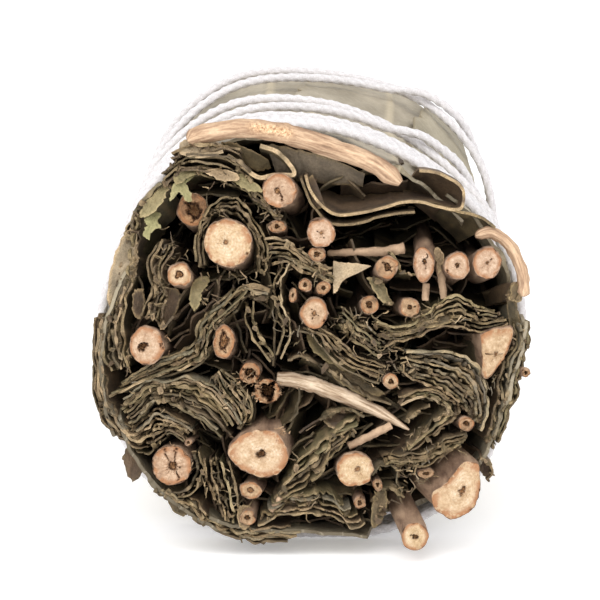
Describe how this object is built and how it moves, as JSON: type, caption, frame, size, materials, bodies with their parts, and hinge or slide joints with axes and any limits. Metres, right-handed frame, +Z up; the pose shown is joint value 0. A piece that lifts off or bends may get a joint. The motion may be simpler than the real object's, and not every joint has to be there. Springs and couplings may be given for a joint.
{
  "type": "eucalyptus smudge stick",
  "caption": "Dried eucalyptus stems and folded leaves, cut flush at one end and bound into a stick with cotton thread.",
  "frame": {"origin": "under the middle of the stick's box, on the surface that it lies on", "axes": "+Z up, +Y along the stick from its cut end at the low end of Y to its leaf tips, +X to the right as the cut end is looked at"},
  "size_m": [0.0446, 0.1074, 0.0443],
  "materials": {
    "stem_wood": "dry cut twig, cream wood with a brown pith and thin tan bark",
    "bark": "dry peeled bark and thin twig, brown to tan",
    "inner_leaf": "dry folded leaf, olive at the cut edge with tan rims, matt",
    "outer_leaf": "dry pressed leaf, grey-green to pale beige, faint waxy bloom, fine veins",
    "cotton_thread": "undyed white cotton thread, several plies twisted together, matt"
  },
  "bodies": {
    "root": {"stem_01": "stem_wood", "stem_02": "stem_wood", "stem_03": "stem_wood", "stem_04": "stem_wood", "stem_05": "stem_wood", "stem_06": "stem_wood", "stem_07": "stem_wood", "stem_08": "stem_wood", "stem_09": "stem_wood", "stem_10": "stem_wood", "stem_11": "stem_wood", "stem_12": "stem_wood", "stem_13": "stem_wood", "stem_14": "stem_wood", "stem_15": "stem_wood", "stem_16": "stem_wood", "stem_17": "stem_wood", "stem_18": "stem_wood", "stem_19": "stem_wood", "stem_20": "stem_wood", "stem_21": "stem_wood", "stem_22": "stem_wood", "stem_23": "stem_wood", "forked_twig": "stem_wood", "bark_strip_top": "bark", "bark_strip_side": "bark", "twig_across": "bark", "sprig_chevron_low": "inner_leaf", "sprig_chevron_high": "inner_leaf", "sprig_diagonal": "inner_leaf", "sprig_left": "inner_leaf", "sprig_upper_left": "inner_leaf", "sprig_beside_stem": "inner_leaf", "sprig_top_arc": "inner_leaf", "sprig_round_stem": "inner_leaf", "sprig_middle": "inner_leaf", "sprig_top_fold": "inner_leaf", "sprig_wide_fold": "inner_leaf", "sprig_under_right": "inner_leaf", "sprig_hairpin": "inner_leaf", "sprig_turn": "inner_leaf", "sprig_lower_right": "inner_leaf", "sprig_right": "inner_leaf", "sprig_lower_left": "inner_leaf", "sprig_bottom": "inner_leaf", "sprig_lower_middle": "inner_leaf", "sprig_centre_fold": "inner_leaf", "sprig_centre": "inner_leaf", "sprig_shredded": "inner_leaf", "sprig_crumpled": "inner_leaf", "wrap_leaf_1": "outer_leaf", "wrap_leaf_2": "outer_leaf", "wrap_leaf_3": "outer_leaf", "wrap_leaf_4": "outer_leaf", "wrap_leaf_5": "outer_leaf", "wrap_leaf_6": "outer_leaf", "wrap_leaf_7": "outer_leaf", "wrap_leaf_8": "outer_leaf", "wrap_leaf_9": "outer_leaf", "thread": "cotton_thread"}
  },
  "joints": []
}
